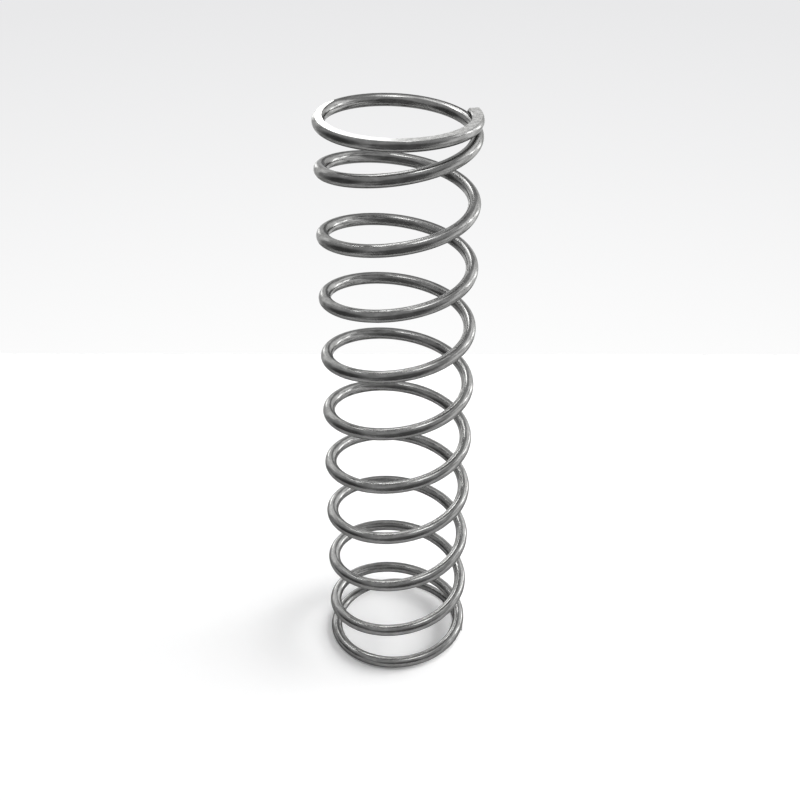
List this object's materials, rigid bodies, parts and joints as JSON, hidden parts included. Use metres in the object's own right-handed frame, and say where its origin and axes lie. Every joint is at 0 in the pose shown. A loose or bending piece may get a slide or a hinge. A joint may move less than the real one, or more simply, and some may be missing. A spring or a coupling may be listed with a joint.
{
  "type": "helical compression spring",
  "caption": "Small cylindrical compression spring of round steel wire, right-hand wound, with squared end coils ground flat; pushes its seats apart.",
  "frame": {"origin": "on the spring's axis, in the plane of the bottom ground seat", "axes": "+Z along the spring's axis, from the bottom seat to the top seat; +X at right angles, towards the side where the wire starts and ends"},
  "size_m": [0.019, 0.019, 0.075],
  "materials": {
    "spring_wire": "hard-drawn spring steel wire, satin with fine die lines along its length; ground end flats bright and matte"
  },
  "bodies": {
    "root": {"spring": "spring_wire"}
  },
  "joints": []
}
